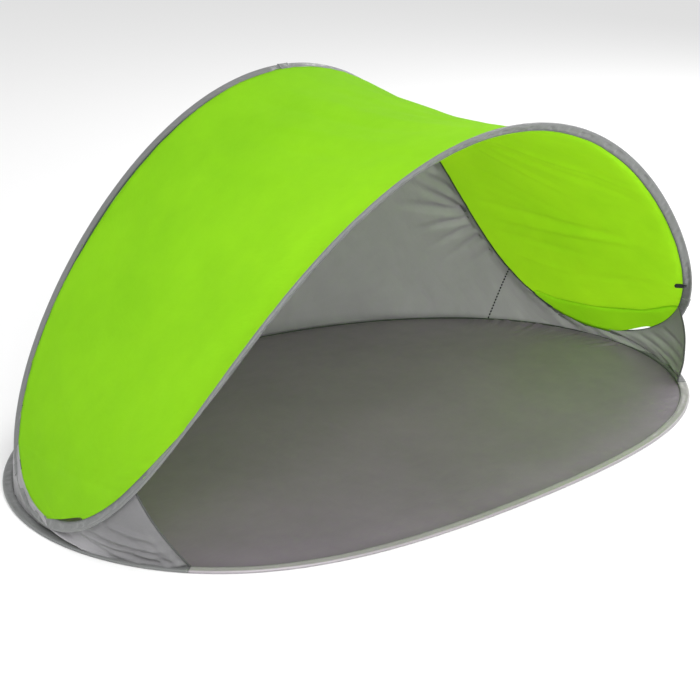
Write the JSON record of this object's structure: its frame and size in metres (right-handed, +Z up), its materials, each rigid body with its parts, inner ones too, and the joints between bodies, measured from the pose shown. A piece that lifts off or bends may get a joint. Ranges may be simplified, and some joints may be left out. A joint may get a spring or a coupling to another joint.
{
  "type": "pop up tent",
  "caption": "Self-opening tent: saddle-shaped spring hoop and roof sheet over an oval floor hoop, with a wall round the back and sides and an open front.",
  "frame": {"origin": "on the ground, under the middle of the floor", "axes": "+X to the right as seen from the open front, +Y to the back, +Z up"},
  "size_m": [2.2188, 1.5574, 0.999],
  "materials": {
    "lime_fabric": "coated polyester taffeta, soft satin sheen",
    "grey_fabric": "coated polyester taffeta, satin sheen, creased",
    "floor_fabric": "coated groundsheet, low sheen",
    "sleeve_fabric": "grey binding, satin, puckered",
    "hem_fabric": "pale grey hem, puckered",
    "seam_tape": "dark seam tape",
    "webbing": "black woven webbing",
    "spring_steel": "drawn spring steel",
    "ferrule_steel": "crimped steel tube",
    "eyelet_metal": "nickel-plated eyelet"
  },
  "bodies": {
    "root": {"floor_sheet": "floor_fabric", "floor_sleeve_rear": "sleeve_fabric", "floor_sleeve_front": "hem_fabric", "floor_wire": "spring_steel", "floor_ferrule": "ferrule_steel", "peg_tabs": "webbing", "peg_eyelets": "eyelet_metal", "wall_right": "grey_fabric", "wall_left": "grey_fabric", "back_seam_tape": "seam_tape", "wall_piping_right": "seam_tape", "wall_piping_left": "seam_tape", "roof_sheet": "lime_fabric", "roof_seam_tape": "seam_tape", "roof_sleeve_rear": "sleeve_fabric", "roof_wire_rear": "spring_steel", "guy_loops": "webbing", "ferrule_right": "ferrule_steel", "ferrule_left": "ferrule_steel"},
    "front_arch": {"roof_sleeve_front": "sleeve_fabric", "roof_wire_front": "spring_steel", "webbing_tab": "webbing"}
  },
  "joints": [
    {"name": "front_arch_fold", "type": "hinge", "parent": "root", "child": "front_arch", "pos_m": [0, -0.40152, 0.20481], "axis": [-1, 0, 0], "range_deg": [0, 30], "stiffness_Nm_per_rad": 5, "springref_deg": -14.32, "deforming": ["roof_sheet"]}
  ]
}
